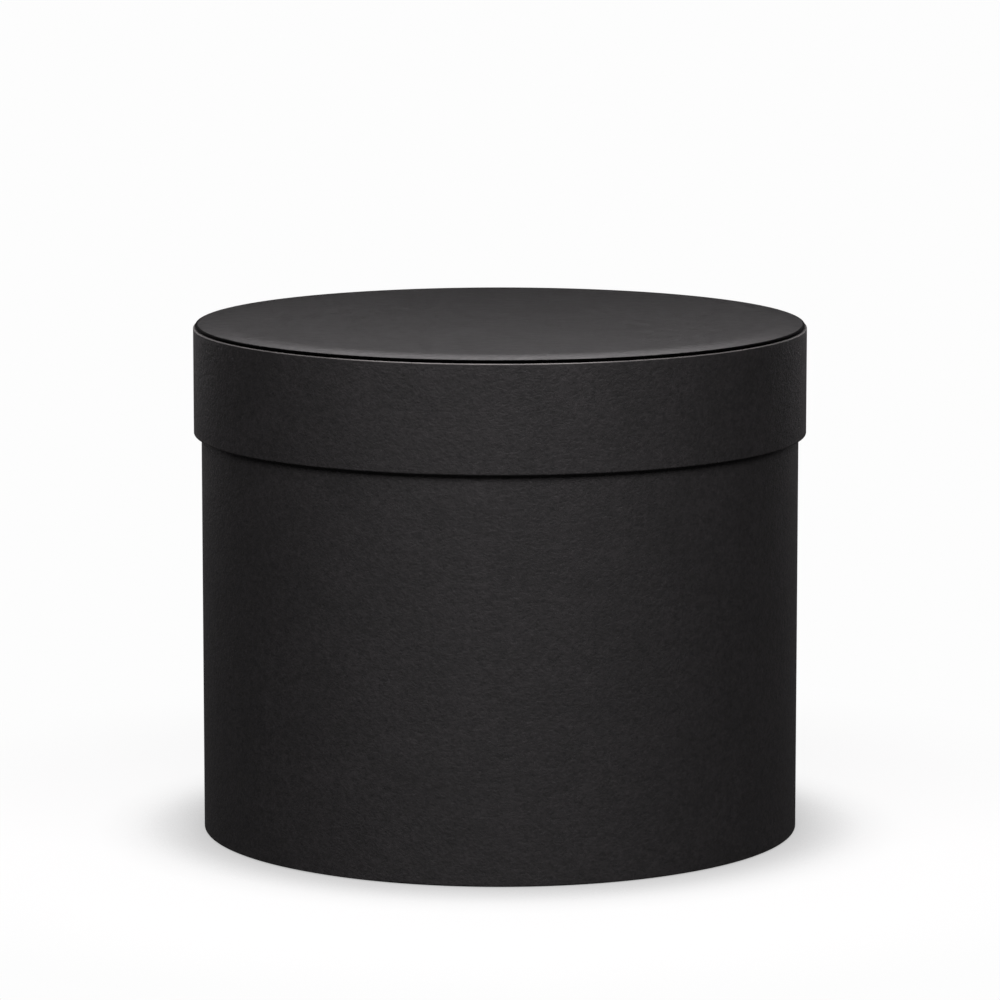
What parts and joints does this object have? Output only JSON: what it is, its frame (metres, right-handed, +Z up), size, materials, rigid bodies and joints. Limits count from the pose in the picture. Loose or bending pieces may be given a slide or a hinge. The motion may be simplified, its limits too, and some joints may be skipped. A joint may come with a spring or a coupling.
{
  "type": "round flower box",
  "caption": "Round covered board box with a flat base and a deep lid that lifts straight off, for holding flowers or keepsakes.",
  "frame": {"origin": "centre of the underside, on the surface that the box stands on", "axes": "+Z up along the box's axis; the paper seams face +Y, and the pictured side faces -Y"},
  "size_m": [0.2, 0.2, 0.1676],
  "materials": {
    "box_cover_paper": "black covering paper with a fine leather grain, satin, matt in the hollows",
    "lid_cover_paper": "black covering paper with a fine leather grain, satin, a little worn along its folds",
    "lid_top_paper": "black covering paper with a fine leather grain, satin, rubbed smoother on the shoulder",
    "lining_paper": "smooth matt black lining paper",
    "grey_board": "raw grey board",
    "kraft_tape": "brown gummed kraft paper tape"
  },
  "bodies": {
    "box": {"box_wall_board": "grey_board", "box_base_board": "grey_board", "box_base_tape": "kraft_tape", "box_wall_wrap": "box_cover_paper", "box_base_cover": "box_cover_paper", "box_wall_lining": "lining_paper", "box_base_lining": "lining_paper"},
    "lid": {"lid_rim_board": "grey_board", "lid_top_board": "grey_board", "lid_corner_tape": "kraft_tape", "lid_rim_wrap": "lid_cover_paper", "lid_top_card": "grey_board", "lid_top_cover": "lid_top_paper", "lid_rim_lining": "lining_paper", "lid_top_lining": "lining_paper"}
  },
  "joints": [
    {"name": "lid_lift", "type": "slide", "parent": "box", "child": "lid", "axis": [0, 0, 1], "range_m": [0, 0.08]}
  ]
}
